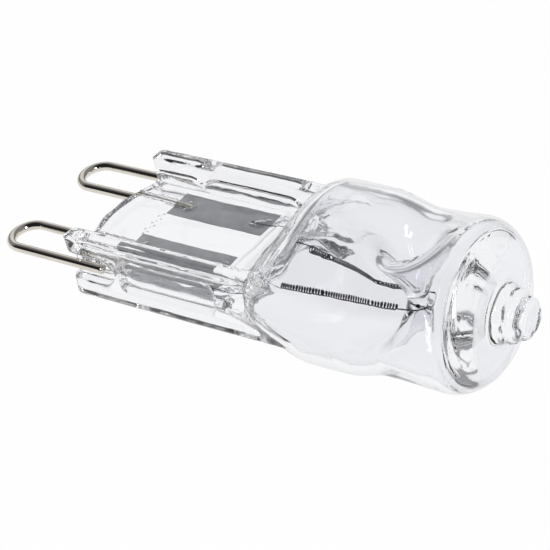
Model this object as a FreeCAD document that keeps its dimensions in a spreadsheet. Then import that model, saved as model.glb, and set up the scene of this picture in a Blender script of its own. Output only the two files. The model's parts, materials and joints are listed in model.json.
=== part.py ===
import FreeCAD, Part
import math
import os

import Sketcher

Vector = FreeCAD.Vector

# Clear quartz capsule bulb with a looped-pin base, lying at rest on its shoulder and its pinch end.
# It is drawn along X, from the pinch end at zero to the pump stub, and laid down at the end.

# Driving dimensions in millimetres
SIZES = (
    ("pinch_length", 14.5, "pinch end to the root of the shoulder"),
    ("pinch_width", 13.0, "pinch over its two sides"),
    ("rail_height", 5.6, "pinch over its rails"),
    ("rail_width", 1.5, "flat top of a rail"),
    ("rail_flare", 0.4, "how much a rail widens down to the web"),
    ("rail_round", 0.35, "long edges of a rail"),
    ("rail_foot_round", 0.6, "hollow where a rail meets the web"),
    ("rail_end_round", 0.9, "rail end seen from the side"),
    ("rail_corner_round", 1.0, "rail end seen from above"),
    ("web_thickness", 2.1, "web between the rails"),
    ("web_setback", 1.5, "web end beside a rail, behind the rail end"),
    ("web_nose", 1.0, "corner of the web's nose, ahead of the rail ends"),
    ("web_nose_round", 4.0, "round of the web's nose"),
    ("end_groove_length", 4.6, "side groove for the free leg of a loop"),
    ("end_groove_height", 2.0, "height of that groove"),
    ("clip_groove_start", 5.0, "side groove for a holder's clip, near end"),
    ("clip_groove_end", 14.2, "far end of that groove"),
    ("clip_groove_height", 2.5, "height of that groove"),
    ("clip_groove_depth", 1.0, "depth of that groove"),
    ("groove_clearance", 0.05, "free leg to the groove's floor"),
    ("shoulder_length", 6.5, "shoulder, from its root to the full tube"),
    ("shoulder_root", 2.6, "shoulder's height at its root"),
    ("bulb_diameter", 14.0, "tube behind the shoulder"),
    ("end_diameter", 13.0, "tube at the closed end"),
    ("wide_length", 3.0, "stretch of full diameter"),
    ("taper_length", 3.6, "stretch from the full to the end diameter"),
    ("taper_round", 7.0, "round at both ends of that stretch"),
    ("bulb_end", 34.6, "pinch end to the closed end's face"),
    ("bulb_end_round", 2.8, "edge of the closed end"),
    ("wall", 1.0, "tube wall"),
    ("end_wall", 1.3, "closed end's wall"),
    ("cavity_start", 0.9, "root of the shoulder to the start of the cavity"),
    ("stub_root_diameter", 4.1, "pump stub's collar"),
    ("stub_root_length", 1.4, "length of the collar"),
    ("stub_diameter", 3.2, "melted tip of the stub"),
    ("stub_length", 2.35, "closed end's face to the tip"),
    ("stub_round", 0.5, "edge of the tip"),
    ("stub_foot_round", 0.4, "hollows along the stub"),
    ("dent_position", 27.7, "pinch end to the axis of the two dents"),
    ("dent_nose", 1.0, "bottom of a dent above the middle plane"),
    ("dent_tip_radius", 0.25, "flat of that bottom"),
    ("dent_tip_round", 0.2, "edge of that flat"),
    ("dent_neck_radius", 1.6, "neck where a dent begins to flare"),
    ("dent_neck_height", 3.8, "that neck above the middle plane"),
    ("dent_neck_round", 2.0, "round of that neck"),
    ("dent_mouth_radius", 5.0, "mouth of a dent"),
    ("dent_lip", 0.2, "how far the mouth is drawn past the tube"),
    ("dent_wall", 0.75, "wall of a dent"),
    ("post_diameter", 1.2, "post where the two dents meet"),
    ("loop_pitch", 9.0, "middle of one loop to the middle of the other"),
    ("loop_reach", 7.2, "outside of a loop, ahead of the pinch end"),
    ("loop_wire", 0.75, "loop wire diameter"),
    ("leg_spacing", 3.16, "between the two legs of a loop"),
    ("free_leg", 3.4, "free leg along the side groove"),
    ("lead_depth", 5.7, "inner leg into the pinch"),
    ("foil_start", 3.9, "pinch end to the foil"),
    ("foil_length", 9.1, "foil along the lamp"),
    ("foil_width", 2.9, "foil across the lamp"),
    ("foil_thickness", 0.04, "foil in the middle"),
    ("foil_feather", 0.5, "sharpened edge of the foil"),
    ("weld_depth", 0.03, "how far a wire is pressed into a foil, less than the foil's thickness"),
    ("tail_start", 11.2, "filament's tail on the foil"),
    ("tail_bend", 13.4, "where the tail leaves the foil"),
    ("coil_start", 17.3, "pinch end to the start of a coil leg"),
    ("coil_end", 27.0, "pinch end to the end of a coil leg"),
    ("coil_start_spread", 5.6, "between the two legs at their start"),
    ("coil_end_spread", 3.9, "between the two legs at their end"),
    ("coil_diameter", 0.5, "outside of the coil"),
    ("coil_wire", 0.16, "filament wire diameter"),
    ("coil_turns", 30, "turns of each leg"),
    ("bend_reach", 29.5, "pinch end to the filament's bend round the post"),
)

# Steps of the shoulder's sections, and of the search for its point of rest
SHOULDER_STEPS = 6
REST_STEPS = 400

# A shift in a drawing that counts as none, and how nearly a groove's ends are half rounds
NO_SHIFT = 1e-9
NEARLY_HALF_ROUND = 0.98

doc = FreeCAD.newDocument("capsule_bulb")
sheet = doc.addObject("Spreadsheet::Sheet", "sizes")
for row, (alias, value, note) in enumerate(SIZES, start=1):
    sheet.set(f"A{row}", note)
    sheet.set(f"B{row}", str(value))
    sheet.setAlias(f"B{row}", alias)
doc.recompute()

# Planes of the drawings, as the directions of their own two axes and their normal
ACROSS_THE_LAMP = FreeCAD.Rotation(Vector(0, 1, 0), Vector(0, 0, 1), Vector(1, 0, 0))
SIDE_OF_THE_LAMP = FreeCAD.Rotation(Vector(1, 0, 0), Vector(0, 0, 1), Vector(0, -1, 0))
TOP_OF_THE_LAMP = FreeCAD.Rotation()

# The two sides of the lamp, and the way across to each
SIDES = (("near", -1), ("far", 1))


def size(expression):
    """The value of an expression on the sheet, in millimetres."""
    return float(sheet.evalExpression(expression))


def bind(feature, **expressions):
    """Tie properties of a feature to the sheet; a double underscore stands for a dot."""
    for name, expression in expressions.items():
        feature.setExpression(name.replace("__", "."), str(expression))
    return feature


def make(kind, name, **settings):
    """Add a feature and set its plain properties."""
    feature = doc.addObject(kind, name)
    for key, value in settings.items():
        setattr(feature, key, value)
    return feature


def dimension(sketch, line, point, across, up):
    """Place one end of a line by its two expressions."""
    for kind, axis, expression in (("DistanceX", -2, across), ("DistanceY", -1, up)):
        distance = size(expression)
        if distance == 0:
            sketch.addConstraint(Sketcher.Constraint("PointOnObject", line, point, axis))
            continue
        number = sketch.addConstraint(Sketcher.Constraint(kind, line, point, distance))
        sketch.setExpression(f"Constraints[{number}]", expression)


def set_back(corner, direction, ratio):
    """Where a corner's round begins: the corner, moved along a side in proportion to the radius."""
    across, up, radius = corner
    shifts = (direction.x * ratio, direction.y * ratio)
    return [base if abs(shift) < NO_SHIFT else f"{base} + {shift:.9f} * ({radius})"
            for base, shift in zip((across, up), shifts)]


def outline(name, plane, corners):
    """A closed sketch of straight sides; a corner is (across, up) or (across, up, round)."""
    sketch = make("Sketcher::SketchObject", name, Placement=FreeCAD.Placement(Vector(), plane))
    count = len(corners)
    spots = [Vector(size(corner[0]), size(corner[1]), 0) for corner in corners]
    arrivals, departures, middles = [], [], []
    for k, corner in enumerate(corners):
        arrivals.append(corner[:2])
        departures.append(corner[:2])
        middles.append(None)
        if len(corner) == 3:
            back = (spots[k - 1] - spots[k]).normalize()
            ahead = (spots[(k + 1) % count] - spots[k]).normalize()
            half = back.getAngle(ahead) / 2
            arrivals[k] = set_back(corner, back, 1 / math.tan(half))
            departures[k] = set_back(corner, ahead, 1 / math.tan(half))
            middles[k] = spots[k] + (back + ahead).normalize() * (size(corner[2]) / math.sin(half))
    for k in range(count):
        ends = [Vector(*map(size, place), 0) for place in (departures[k], arrivals[(k + 1) % count])]
        sketch.addGeometry(Part.LineSegment(*ends))
        dimension(sketch, k, 1, *departures[k])
    for k, middle in enumerate(middles):
        before = (k - 1) % count
        if middle is None:
            sketch.addConstraint(Sketcher.Constraint("Coincident", before, 2, k, 1))
            continue
        dimension(sketch, before, 2, *arrivals[k])
        rays = [Vector(*map(size, place), 0) - middle for place in (arrivals[k], departures[k])]
        joints = [(before, 2), (k, 1)]
        if rays[0].cross(rays[1]).z < 0:
            rays.reverse()
            joints.reverse()
        begin, finish = (math.atan2(ray.y, ray.x) for ray in rays)
        circle = Part.Circle(middle, Vector(0, 0, 1), size(corners[k][2]))
        sweep = (finish - begin) % (2 * math.pi)
        arc = sketch.addGeometry(Part.ArcOfCircle(circle, begin, begin + sweep))
        for point, (line, end) in enumerate(joints, start=1):
            sketch.addConstraint(Sketcher.Constraint("Coincident", line, end, arc, point))
        number = sketch.addConstraint(Sketcher.Constraint("Radius", arc, size(corners[k][2])))
        sketch.setExpression(f"Constraints[{number}]", corners[k][2])
    return sketch


def extrude(name, sketch, length):
    """A solid of a sketch, drawn out along its plane's normal."""
    solid = make("Part::Extrusion", name, Base=sketch, DirMode="Normal", Solid=True)
    return bind(solid, LengthFwd=length)


def turn(name, sketch, axis, **place):
    """A solid of a half profile, turned once round an axis of the lamp."""
    solid = make("Part::Revolution", name, Source=sketch, Axis=axis, Angle=360, Solid=True)
    return bind(solid, **place)


def mirrored(name, source, normal):
    """The same solid on the other side of the lamp's middle."""
    return make("Part::Mirroring", name, Source=source, Normal=normal)


# Pinch: what is left of its section, its plan and its side view
half_width = "sizes.pinch_width / 2"
rail_top = "sizes.rail_height / 2"
rail_inside = "(sizes.pinch_width / 2 - sizes.rail_width)"
rail_foot = "(sizes.pinch_width / 2 - sizes.rail_width - sizes.rail_flare)"
web_top = "sizes.web_thickness / 2"
tube_start = "(sizes.pinch_length + sizes.shoulder_length)"

section = outline("pinch_section", ACROSS_THE_LAMP, (
    (half_width, f"-{rail_top}", "sizes.rail_round"),
    (half_width, rail_top, "sizes.rail_round"),
    (rail_inside, rail_top, "sizes.rail_round"),
    (rail_foot, web_top, "sizes.rail_foot_round"),
    (f"-{rail_foot}", web_top, "sizes.rail_foot_round"),
    (f"-{rail_inside}", rail_top, "sizes.rail_round"),
    (f"-{half_width}", rail_top, "sizes.rail_round"),
    (f"-{half_width}", f"-{rail_top}", "sizes.rail_round"),
    (f"-{rail_inside}", f"-{rail_top}", "sizes.rail_round"),
    (f"-{rail_foot}", f"-{web_top}", "sizes.rail_foot_round"),
    (rail_foot, f"-{web_top}", "sizes.rail_foot_round"),
    (rail_inside, f"-{rail_top}", "sizes.rail_round"),
))
bind(section, Placement__Base__x="-sizes.web_nose")
pinch_bar = extrude("pinch_bar", section, f"sizes.web_nose + {tube_start}")

plan = outline("pinch_plan", TOP_OF_THE_LAMP, (
    (tube_start, half_width),
    ("0", half_width, "sizes.rail_corner_round"),
    ("0", rail_foot),
    ("sizes.web_setback", rail_foot),
    ("-sizes.web_nose", "0", "sizes.web_nose_round"),
    ("sizes.web_setback", f"-{rail_foot}"),
    ("0", f"-{rail_foot}"),
    ("0", f"-{half_width}", "sizes.rail_corner_round"),
    (tube_start, f"-{half_width}"),
))
bind(plan, Placement__Base__z="-sizes.rail_height")
pinch_plate = extrude("pinch_plate", plan, "2 * sizes.rail_height")

tongue = "(sizes.web_thickness / 2 + sizes.rail_foot_round)"
side = outline("pinch_side", SIDE_OF_THE_LAMP, (
    (tube_start, rail_top),
    ("0", rail_top, "sizes.rail_end_round"),
    ("0", tongue),
    ("-sizes.web_nose", tongue),
    ("-sizes.web_nose", f"-{tongue}"),
    ("0", f"-{tongue}"),
    ("0", f"-{rail_top}", "sizes.rail_end_round"),
    (tube_start, f"-{rail_top}"),
))
bind(side, Placement__Base__y="sizes.pinch_width")
pinch_board = extrude("pinch_board", side, "2 * sizes.pinch_width")
pinch = make("Part::MultiCommon", "pinch", Shapes=[pinch_bar, pinch_plate, pinch_board])

# Side grooves: one for the free leg of a loop, one for a holder's clip, on both sides
free_leg_line = "(sizes.loop_pitch + sizes.leg_spacing) / 2"
end_groove_floor = f"{free_leg_line} - sizes.loop_wire / 2 - sizes.groove_clearance"
clip_groove_floor = "sizes.pinch_width / 2 - sizes.clip_groove_depth"


def groove(name, start, end, height, floor, open_end):
    """A round-ended groove in the far side of the pinch, cut from its floor outwards."""
    middle = f"{height} / 2"
    ending = f"{NEARLY_HALF_ROUND} * {height} / 2"
    begin = () if open_end else (ending,)
    drawing = outline(f"{name}_outline", SIDE_OF_THE_LAMP, (
        (start, f"-{middle}", *begin),
        (end, f"-{middle}", ending),
        (end, middle, ending),
        (start, middle, *begin),
    ))
    bind(drawing, Placement__Base__y=f"{floor} + sizes.pinch_width")
    return extrude(name, drawing, "sizes.pinch_width")


far_end_groove = groove("far_end_groove", "-sizes.web_nose", "sizes.end_groove_length",
                        "sizes.end_groove_height", end_groove_floor, True)
far_clip_groove = groove("far_clip_groove", "sizes.clip_groove_start", "sizes.clip_groove_end",
                         "sizes.clip_groove_height", clip_groove_floor, False)
grooves = [far_end_groove, far_clip_groove]
grooves += [mirrored(f"near_{groove.Name[4:]}", groove, Vector(0, 1, 0)) for groove in grooves]


# Shoulder: ovals that swell from the pinch to the round tube in half a cosine wave
def swell(share):
    """How far the shoulder has risen at a share of its length."""
    return (1 - math.cos(math.pi * share)) / 2


def shoulder_loft(name, skin, first_share):
    """The shoulder's solid, drawn in by a skin, from a share of its length to the tube."""
    rings = []
    for step in range(SHOULDER_STEPS + 1):
        share = first_share + (1 - first_share) * step / SHOULDER_STEPS
        rise = swell(share)
        wide = f"sizes.pinch_width / 2 * {1 - rise} + sizes.bulb_diameter / 2 * {rise} - {skin}"
        tall = f"sizes.shoulder_root / 2 * {1 - rise} + sizes.bulb_diameter / 2 * {rise} - {skin}"
        place = FreeCAD.Placement(Vector(), ACROSS_THE_LAMP)
        if step == SHOULDER_STEPS:
            ring = make("Part::Circle", f"{name}_ring_{step}", Placement=place)
            bind(ring, Radius=f"sizes.bulb_diameter / 2 - {skin}")
        else:
            ring = make("Part::Ellipse", f"{name}_ring_{step}", Placement=place)
            bind(ring, MajorRadius=wide, MinorRadius=tall)
        rings.append(bind(ring, Placement__Base__x=f"sizes.pinch_length + sizes.shoulder_length * {share}"))
    return make("Part::Loft", name, Sections=rings, Solid=True)


shoulder = shoulder_loft("shoulder", "0", 0)
hollow_shoulder = shoulder_loft("hollow_shoulder", "sizes.wall",
                                size("sizes.cavity_start / sizes.shoulder_length"))

# Tube, closed end and pump stub, turned round the lamp's own axis
taper_start = f"{tube_start} + sizes.wide_length"
taper_end = f"{tube_start} + sizes.wide_length + sizes.taper_length"
collar_end = "sizes.bulb_end + sizes.stub_root_length"
tip = "sizes.bulb_end + sizes.stub_length"
tube_profile = outline("tube_profile", SIDE_OF_THE_LAMP, (
    (tube_start, "0"),
    (tube_start, "sizes.bulb_diameter / 2"),
    (taper_start, "sizes.bulb_diameter / 2", "sizes.taper_round"),
    (taper_end, "sizes.end_diameter / 2", "sizes.taper_round"),
    ("sizes.bulb_end", "sizes.end_diameter / 2", "sizes.bulb_end_round"),
    ("sizes.bulb_end", "sizes.stub_root_diameter / 2", "sizes.stub_foot_round"),
    (collar_end, "sizes.stub_root_diameter / 2", "sizes.stub_foot_round / 2"),
    (collar_end, "sizes.stub_diameter / 2", "sizes.stub_foot_round / 2"),
    (tip, "sizes.stub_diameter / 2", "sizes.stub_round"),
    (tip, "0"),
))
tube = turn("tube", tube_profile, Vector(1, 0, 0))

hollow_end = "sizes.bulb_end - sizes.end_wall"
hollow_profile = outline("hollow_profile", SIDE_OF_THE_LAMP, (
    (tube_start, "0"),
    (tube_start, "sizes.bulb_diameter / 2 - sizes.wall"),
    (taper_start, "sizes.bulb_diameter / 2 - sizes.wall", "sizes.taper_round"),
    (taper_end, "sizes.end_diameter / 2 - sizes.wall", "sizes.taper_round"),
    (hollow_end, "sizes.end_diameter / 2 - sizes.wall", "sizes.bulb_end_round - sizes.wall"),
    (hollow_end, "0"),
))
hollow_tube = turn("hollow_tube", hollow_profile, Vector(1, 0, 0))


# Dents: a trumpet from above and one from below, and the post between their bottoms
def grown(places, skin):
    """The places along an open profile, moved out by a skin square to its sides."""
    spots = [Vector(*map(size, place), 0) for place in places]
    runs = [end - start for start, end in zip(spots, spots[1:])]
    normals = [Vector(run.y, -run.x, 0).normalize() for run in runs]
    moved = []
    for place, before, after in zip(places, [normals[0], *normals], [*normals, normals[-1]]):
        shift = (before + after) / (1 + before.dot(after))
        moved.append([f"{base} + {part:.9f} * {skin}" for base, part in zip(place, (shift.x, shift.y))])
    return moved


def dent(name, skin):
    """A dent's solid, from its bottom up past the tube, grown by a skin."""
    bottom, tip, neck, mouth = grown((
        ("0", "sizes.dent_nose"),
        ("sizes.dent_tip_radius", "sizes.dent_nose"),
        ("sizes.dent_neck_radius", "sizes.dent_neck_height"),
        ("sizes.dent_mouth_radius", "sizes.bulb_diameter / 2 + sizes.dent_lip"),
    ), skin)
    profile = outline(f"{name}_profile", SIDE_OF_THE_LAMP, (
        bottom,
        (*tip, f"sizes.dent_tip_round + {skin}"),
        (*neck, f"sizes.dent_neck_round - {skin}"),
        mouth,
        (mouth[0], "sizes.bulb_diameter"),
        ("0", "sizes.bulb_diameter"),
    ))
    bind(profile, Placement__Base__x="sizes.dent_position")
    above = turn(f"{name}_above", profile, Vector(0, 0, 1), Base__x="sizes.dent_position")
    return [above, mirrored(f"{name}_below", above, Vector(0, 0, 1))]


dents = dent("dent", "0")
dent_skins = dent("dent_skin", "sizes.dent_wall")
post = make("Part::Cylinder", "post")
bind(post, Radius="sizes.post_diameter / 2", Height="2 * sizes.dent_nose",
     Placement__Base__x="sizes.dent_position", Placement__Base__z="-sizes.dent_nose")
hollow = make("Part::MultiFuse", "hollow", Shapes=[hollow_shoulder, hollow_tube])
dent_core = make("Part::MultiFuse", "dent_core", Shapes=[*dent_skins, post])
cavity = make("Part::Cut", "cavity", Base=hollow, Tool=dent_core)


# Foils: thin blades with sharpened edges, welded under the loops' inner legs
lead_line = "(sizes.loop_pitch - sizes.leg_spacing) / 2"
foil_top = "(sizes.weld_depth - sizes.loop_wire / 2)"


def foil_blade(side, way):
    """One sealing foil, whose top carries the end of the loop's inner leg."""
    edge = "sizes.foil_width / 2"
    flat = "(sizes.foil_width / 2 - sizes.foil_feather)"
    thick = "sizes.foil_thickness / 2"
    section = outline(f"{side}_foil_section", ACROSS_THE_LAMP, (
        (edge, "0"), (flat, thick), (f"-{flat}", thick),
        (f"-{edge}", "0"), (f"-{flat}", f"-{thick}"), (flat, f"-{thick}"),
    ))
    bind(section, Placement__Base__x="sizes.foil_start", Placement__Base__y=f"{way} * {lead_line}",
         Placement__Base__z=f"{foil_top} - {thick}")
    return extrude(f"{side}_blade", section, "sizes.foil_length")


# Wire loops: two legs and a half ring in the middle plane of the pinch, pressed flat on the foil
def wire_loop(side, way, blade):
    """One loop: its free leg lies in the side groove, its inner leg runs into the pinch."""
    bend = "sizes.leg_spacing / 2"
    bend_line = f"({bend} + sizes.loop_wire / 2 - sizes.loop_reach)"
    legs = []
    for leg, offset, end in (("free", 1, "sizes.free_leg"), ("inner", -1, "sizes.lead_depth")):
        rod = make("Part::Cylinder", f"{side}_{leg}_leg")
        rod.Placement = FreeCAD.Placement(Vector(), ACROSS_THE_LAMP)
        bind(rod, Radius="sizes.loop_wire / 2", Height=f"{end} - {bend_line}", Placement__Base__x=bend_line,
             Placement__Base__y=f"{way} * (sizes.loop_pitch / 2 + {offset} * {bend})")
        legs.append(rod)
    ring = make("Part::Torus", f"{side}_bend", Angle3=180)
    ring.Placement = FreeCAD.Placement(Vector(), FreeCAD.Rotation(Vector(0, 0, 1), 90))
    bind(ring, Radius1=bend, Radius2="sizes.loop_wire / 2", Placement__Base__x=bend_line,
         Placement__Base__y=f"{way} * sizes.loop_pitch / 2")
    bent = make("Part::MultiFuse", f"{side}_bent_wire", Shapes=[*legs, ring], Refine=True)
    return make("Part::Cut", f"{side}_wire_loop", Base=bent, Tool=blade), legs[1]


loops, leads, blades, foils = [], [], [], []
for side_name, way in SIDES:
    blade = foil_blade(side_name, way)
    loop, lead = wire_loop(side_name, way, blade)
    blades.append(blade)
    loops.append(loop)
    leads.append(lead)
    foils.append(make("Part::Refine", f"{side_name}_foil", Source=blade))
doc.recompute()


# Filament: a tail from each foil, two coil legs in a V, and a plain bend round the post
def run_of_wire(points, radius):
    """A round wire through points, with a ball at each of them."""
    pieces = [Part.makeSphere(radius, point) for point in points]
    for start, end in zip(points, points[1:]):
        pieces.append(Part.makeCylinder(radius, (end - start).Length, start, end - start))
    return pieces[0].fuse(pieces[1:]).removeSplitter()


def coil_leg(way):
    """One coil leg of square-cut turns, and its first and last point."""
    start = Vector(size("sizes.coil_start"), way * size("sizes.coil_start_spread / 2"), 0)
    end = Vector(size("sizes.coil_end"), way * size("sizes.coil_end_spread / 2"), 0)
    along = (end - start).normalize()
    outwards = Vector(0, 0, way).cross(along)
    length = (end - start).Length
    wire = size("sizes.coil_wire")
    radius = (size("sizes.coil_diameter") - wire) / 2
    pitch = length / round(size("sizes.coil_turns"))
    spine = Part.Wire(Part.makeHelix(pitch, length, radius).Edges)
    inside, outside = radius - wire / 2, radius + wire / 2
    corners = [Vector(inside, 0, -wire / 2), Vector(outside, 0, -wire / 2)]
    corners += [Vector(outside, 0, wire / 2), Vector(inside, 0, wire / 2)]
    turns = spine.makePipeShell([Part.makePolygon(corners + corners[:1])], True, True)
    turns.Placement = FreeCAD.Placement(start, FreeCAD.Rotation(outwards, along.cross(outwards), along))
    return turns, start + outwards * radius, end + outwards * radius


wire_radius = size("sizes.coil_wire / 2")
foil_level = size(f"{foil_top} - sizes.weld_depth") + wire_radius
tails, coil_pieces, bend_ends = [], [], []
for side_name, way in SIDES:
    turns, first, last = coil_leg(way)
    on_foil = Vector(size("sizes.tail_start"), way * size(lead_line), foil_level)
    off_foil = Vector(size("sizes.tail_bend"), way * size(lead_line), foil_level)
    tails.append(run_of_wire((on_foil, off_foil, first), wire_radius))
    coil_pieces += [turns, Part.makeSphere(wire_radius, last)]
    bend_ends.append(last)
bend_arc = Part.Arc(bend_ends[0], Vector(size("sizes.bend_reach"), 0, 0), bend_ends[1]).toShape()
bend_start = bend_arc.tangentAt(bend_arc.FirstParameter)
bend_section = Part.Wire(Part.makeCircle(wire_radius, bend_ends[0], bend_start))
coil_pieces.append(Part.Wire(bend_arc).makePipeShell([bend_section], True, True))
filament = make("Part::Feature", "filament")
filament.Shape = tails[0].fuse([tails[1], *coil_pieces]).cut([blade.Shape for blade in blades])
tail_bores = make("Part::Feature", "tail_bores", Shape=Part.makeCompound(tails))

# Envelope: the outer form less the grooves, the dents, the cavity and what is sealed into the pinch
outside = make("Part::MultiFuse", "outside", Shapes=[pinch, shoulder, tube])
openings = make("Part::MultiFuse", "openings", Shapes=[*grooves, *dents, cavity])
blown = make("Part::Cut", "blown", Base=outside, Tool=openings)
sealed_in = make("Part::MultiFuse", "sealed_in", Shapes=[*leads, *blades, tail_bores])
envelope = make("Part::Cut", "quartz_envelope", Base=blown, Tool=sealed_in)
doc.recompute()


# Rest: the pinch end's lower edge and the shoulder's underside touch the floor together
def shoulder_underside(share):
    """The shoulder's lowest line in the lamp's own frame."""
    low = size("sizes.shoulder_root / 2")
    high = size("sizes.bulb_diameter / 2")
    along = size("sizes.pinch_length") + size("sizes.shoulder_length") * share
    return Vector(along, 0, -(low + (high - low) * swell(share)))


heel_round = size("sizes.rail_end_round")
heel = Vector(heel_round, 0, heel_round - size("sizes.rail_height / 2"))
tilt = 0
for step in range(REST_STEPS + 1):
    point = shoulder_underside(step / REST_STEPS) - heel
    dip = math.atan2(-point.z, point.x) - math.asin(heel_round / point.Length)
    tilt = max(tilt, dip)
lay = FreeCAD.Rotation(Vector(0, 1, 0), -math.degrees(tilt))
floor = lay.multVec(heel).z - heel_round

# The two ends of the lying lamp: the outside of the loops and the round edge of the stub's tip
loop_bend = size("sizes.leg_spacing / 2")
loop_edge = size("sizes.loop_wire / 2")
loop_middle = Vector(loop_bend + loop_edge - size("sizes.loop_reach"), 0, 0)
first_end = lay.multVec(loop_middle - Vector(loop_bend, 0, 0)).x - loop_edge
tip_round = size("sizes.stub_round")
tip_edge = Vector(size(tip) - tip_round, 0, tip_round - size("sizes.stub_diameter / 2"))
last_end = lay.multVec(tip_edge).x + tip_round
rest = FreeCAD.Placement(Vector(-(first_end + last_end) / 2, 0, -floor), lay)

pieces = [envelope, *loops, *foils, filament]
for piece in pieces:
    piece.Label = piece.Name
    piece.Placement = rest.multiply(piece.Placement)
doc.recompute()

# Proof of every feature, then one file for each piece
for feature in doc.Objects:
    if "Invalid" in feature.State or "Error" in feature.State:
        raise RuntimeError(f"{feature.Name} failed: {feature.State}")
for piece in pieces:
    if piece.Shape.isNull() or not piece.Shape.isValid():
        raise RuntimeError(f"{piece.Label} has no valid shape")
os.makedirs("parts", exist_ok=True)
for piece in pieces:
    piece.Shape.exportStep(f"parts/{piece.Label}.step")
    print(piece.Label, len(piece.Shape.Solids), "solid", round(piece.Shape.Volume, 3), "mm3")
print("rest tilt", round(math.degrees(tilt), 2), "degrees, length", round(last_end - first_end, 3), "mm")
print("pinch end at", [round(part, 3) for part in rest.Base])
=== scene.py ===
# %% [markdown]
# # A halogen capsule bulb in clear quartz
#
# The lamp is a quartz tube that was closed at one end, pinched flat at the other and pressed in twice near
# its tip. Almost everything that the eye sees is light bent by that quartz, so this lesson spends most of its
# time on one smooth, closed glass body. The wires, foils and filament inside are small but exact.
#
# The part's solids come in as a fixed frame, in metres. They are the measure for everything below: a piece
# that replaces a solid lies where the solid lies.

# %% Load the frame
import json
import math

import bpy
import numpy as np
from mathutils import Matrix, Vector


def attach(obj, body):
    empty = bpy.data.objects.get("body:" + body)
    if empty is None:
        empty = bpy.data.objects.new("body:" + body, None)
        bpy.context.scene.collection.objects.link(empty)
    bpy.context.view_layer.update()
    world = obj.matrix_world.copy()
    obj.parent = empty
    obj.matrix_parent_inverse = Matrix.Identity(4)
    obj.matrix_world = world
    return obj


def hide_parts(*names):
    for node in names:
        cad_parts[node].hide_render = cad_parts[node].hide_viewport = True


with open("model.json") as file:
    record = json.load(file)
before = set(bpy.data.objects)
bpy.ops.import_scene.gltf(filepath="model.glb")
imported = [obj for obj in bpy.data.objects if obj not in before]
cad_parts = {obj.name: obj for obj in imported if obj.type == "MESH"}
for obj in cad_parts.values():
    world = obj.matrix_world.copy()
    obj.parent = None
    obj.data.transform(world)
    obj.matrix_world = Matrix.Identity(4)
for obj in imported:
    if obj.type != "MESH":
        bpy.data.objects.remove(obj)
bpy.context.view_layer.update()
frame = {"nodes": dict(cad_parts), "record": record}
print("solids:", ", ".join(sorted(frame["nodes"])))

# %% [markdown]
# ## The lamp's own axes
#
# The lamp lies tilted, with its pinch end and its belly on the floor. Its formulas are much easier along its
# own axis, so we work in a lamp frame, in millimetres: X from the pinch end to the tip, Y across the two
# loops, Z through the thin way of the pinch. The base mount in the record says where that frame lies.

# %% Lamp frame
MM = 0.001
base = frame["record"]["mounts"][0]
pinch_end = Vector(base["pos_m"])
along = -Vector(base["axis"]).normalized()
across = Vector((0, 1, 0))
upward = along.cross(across)
lamp_turn = np.array([along, across, upward])


def to_world(points):
    """Lamp millimetres to the frame's metres."""
    return np.asarray(points, float) @ lamp_turn * MM + np.array(pinch_end)


lean = math.degrees(math.asin(along.z))
print(f"the lamp leans {lean:.2f} degrees, pinch end at {[round(part / MM, 2) for part in pinch_end]} mm")

# %% [markdown]
# ## Turning points and faces into pieces
#
# Every piece below is a mesh made from arrays. This helper puts one into the scene, shades it smooth, makes
# it ride with the part's one body, and hides the solids it stands for.

# %% Mesh helper
def add_piece(name, points, faces, slot, *solids):
    """A smooth mesh piece from lamp points and faces, standing for the named solids."""
    mesh = bpy.data.meshes.new(name)
    mesh.from_pydata(to_world(points).tolist(), [], [list(map(int, face)) for face in faces])
    mesh.validate()
    mesh.shade_smooth()
    piece = bpy.data.objects.new(name, mesh)
    bpy.context.scene.collection.objects.link(piece)
    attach(piece, "root")
    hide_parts(*solids)
    print(f"{name}: {len(mesh.vertices)} points, {len(mesh.polygons)} faces")
    return piece


# %% [markdown]
# ## The quartz as a distance formula
#
# Hot quartz has no sharp corner: where a rail meets the web, or a dent meets the tube, the surfaces run into
# each other. Boxes and cylinders joined by booleans would need a bevel at every seam, and glass shows each
# badly lit bevel twice. A *signed distance* makes this simple. It is a formula that gives, at any point in
# space, how far the surface is: negative in the quartz, positive outside. Two bodies join with a *smooth
# minimum*, which leaves a fillet, and one is cut out of another with a *smooth maximum*.

# %% Distance tools
def smooth_min(first, second, reach):
    """Join two bodies with a fillet about as wide as reach."""
    near = np.maximum(reach - np.abs(first - second), 0) / reach
    return np.minimum(first, second) - near * near * reach / 4


def smooth_max(first, second, reach):
    """Keep what two bodies share, with a rounded edge."""
    return -smooth_min(-first, -second, reach)


def rounded(first, second, radius):
    """Two distances met at a right-angled edge of a given radius."""
    out_first = np.maximum(first + radius, 0)
    out_second = np.maximum(second + radius, 0)
    inner = np.minimum(np.maximum(first + radius, second + radius), 0)
    return np.hypot(out_first, out_second) + inner - radius


def ease(low, high, value):
    """A soft step from 0 to 1 between two places."""
    share = np.clip((value - low) / (high - low), 0, 1)
    return share * share * (3 - 2 * share)


corner = float(rounded(0.0, 0.0, 1.0))
print(f"an edge of radius 1 leaves its corner {corner:.3f} outside the body")

# %% [markdown]
# ### The grooves in the pinch's sides
#
# In each side of the flat end is a groove that holds the free end of a loop, and a longer one that a holder's
# clip catches. Each is a slot with a round end and a flat floor. A boolean with two cutters would make them
# as well; as distances, they can be taken from the pinch with a soft lip.

# %% Side grooves
PINCH_HALF_WIDTH = 6.5
LOOP_MIDDLE, LOOP_BEND = 4.5, 1.58
WIRE_RADIUS, GROOVE_CLEARANCE = 0.375, 0.05
LEG_GROOVE_END, LEG_GROOVE_HALF = 3.6, 1.0
CLIP_GROOVE_START, CLIP_GROOVE_END = 6.25, 12.95
CLIP_GROOVE_HALF, CLIP_GROOVE_DEPTH = 1.25, 1.0


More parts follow.
